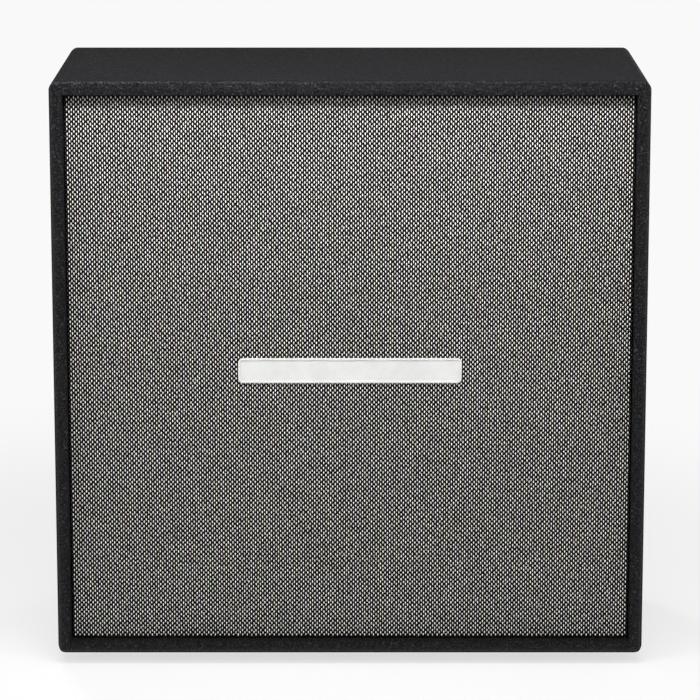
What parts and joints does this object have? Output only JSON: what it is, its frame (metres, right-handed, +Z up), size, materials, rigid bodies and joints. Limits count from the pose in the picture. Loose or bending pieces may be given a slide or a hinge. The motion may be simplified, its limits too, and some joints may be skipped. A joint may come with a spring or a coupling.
{
  "type": "guitar speaker cabinet",
  "caption": "Upright black guitar speaker cabinet with a salt-and-pepper cloth grille, a blank badge, twelve inch speakers, recessed side handles and a rear jack dish.",
  "frame": {"origin": "on the floor under the middle of the cabinet", "axes": "+X to the right seen from the front, the grille faces -Y, +Z up"},
  "size_m": [0.7596, 0.356, 0.754],
  "materials": {
    "plywood": "bare birch plywood, hidden under the covering",
    "vinyl": "black grained vinyl covering, semi matt",
    "black_board": "plywood painted flat black",
    "softwood": "planed softwood",
    "zinc_steel": "bright plated steel",
    "black_steel": "blackened steel screws",
    "rubber": "black rubber",
    "grip_rubber": "soft black grip sleeve",
    "grille_cloth": "basket weave of white and black plastic-coated yarns",
    "badge": "satin white metal, blank",
    "hook_and_loop": "black hook-and-loop tape",
    "black_pressing": "steel pressing in fine black powder coat",
    "basket_paint": "pressed steel painted black",
    "black_plastic": "moulded black plastic",
    "cable_sheath": "black cable sheath",
    "cone_paper": "dark ribbed paper pulp",
    "cap_felt": "black felted paper",
    "coil_wire": "lacquered copper wire on a paper former",
    "surround": "treated pleated edge, slightly glossy",
    "spider": "resin-treated corrugated cloth",
    "cork": "dark pressed cork gasket",
    "plate_steel": "zinc plated steel",
    "ferrite": "ground ferrite",
    "fibre_board": "brown fibre board with tinned tags"
  },
  "bodies": {
    "cabinet": {"top_panel": "plywood", "bottom_panel": "plywood", "left_side_panel": "plywood", "right_side_panel": "plywood", "vinyl_covering": "vinyl", "baffle_board": "black_board", "baffle_cleats": "softwood", "rear_cleats": "softwood", "rear_panel": "plywood", "rear_panel_vinyl": "vinyl", "centre_post": "softwood", "baffle_screws": "black_steel", "rear_panel_screws": "zinc_steel", "rear_cup_washers": "zinc_steel", "rubber_feet": "rubber", "foot_screws": "zinc_steel", "hook_strips": "hook_and_loop", "jack_dish": "black_pressing", "jack_socket_left": "black_plastic", "jack_socket_right": "black_plastic", "jack_nuts": "zinc_steel", "jack_dish_screws": "black_steel", "left_handle_dish": "black_pressing", "right_handle_dish": "black_pressing", "left_handle_bar": "zinc_steel", "right_handle_bar": "zinc_steel", "left_handle_grip": "grip_rubber", "right_handle_grip": "grip_rubber", "handle_screws": "black_steel", "speaker_cables": "cable_sheath", "cable_clips": "black_plastic", "basket_1": "basket_paint", "basket_2": "basket_paint", "basket_3": "basket_paint", "basket_4": "basket_paint", "speaker_surrounds": "surround", "speaker_spiders": "spider", "speaker_gaskets": "cork", "speaker_top_plates": "plate_steel", "speaker_magnets": "ferrite", "speaker_back_plates": "plate_steel", "speaker_terminals": "fibre_board", "speaker_screws": "black_steel"},
    "grille": {"grille_frame": "black_board", "grille_cloth": "grille_cloth", "cloth_turnover": "grille_cloth", "badge_plate": "badge", "loop_strips": "hook_and_loop"},
    "moving_cone_1": {"cone_1": "cone_paper", "dust_cap_1": "cap_felt", "voice_coil_1": "coil_wire"},
    "moving_cone_2": {"cone_2": "cone_paper", "dust_cap_2": "cap_felt", "voice_coil_2": "coil_wire"},
    "moving_cone_3": {"cone_3": "cone_paper", "dust_cap_3": "cap_felt", "voice_coil_3": "coil_wire"},
    "moving_cone_4": {"cone_4": "cone_paper", "dust_cap_4": "cap_felt", "voice_coil_4": "coil_wire"}
  },
  "joints": [
    {"name": "grille_pull", "type": "slide", "parent": "cabinet", "child": "grille", "axis": [0, -1, 0], "range_m": [0, 0.06]},
    {"name": "cone_travel_1", "type": "slide", "parent": "cabinet", "child": "moving_cone_1", "axis": [0, -1, 0], "range_m": [-0.002, 0.002], "stiffness_N_per_m": 5000, "deforming": ["speaker_surrounds", "speaker_spiders"]},
    {"name": "cone_travel_2", "type": "slide", "parent": "cabinet", "child": "moving_cone_2", "axis": [0, -1, 0], "range_m": [-0.002, 0.002], "stiffness_N_per_m": 5000, "deforming": ["speaker_surrounds", "speaker_spiders"]},
    {"name": "cone_travel_3", "type": "slide", "parent": "cabinet", "child": "moving_cone_3", "axis": [0, -1, 0], "range_m": [-0.002, 0.002], "stiffness_N_per_m": 5000, "deforming": ["speaker_surrounds", "speaker_spiders"]},
    {"name": "cone_travel_4", "type": "slide", "parent": "cabinet", "child": "moving_cone_4", "axis": [0, -1, 0], "range_m": [-0.002, 0.002], "stiffness_N_per_m": 5000, "deforming": ["speaker_surrounds", "speaker_spiders"]}
  ]
}
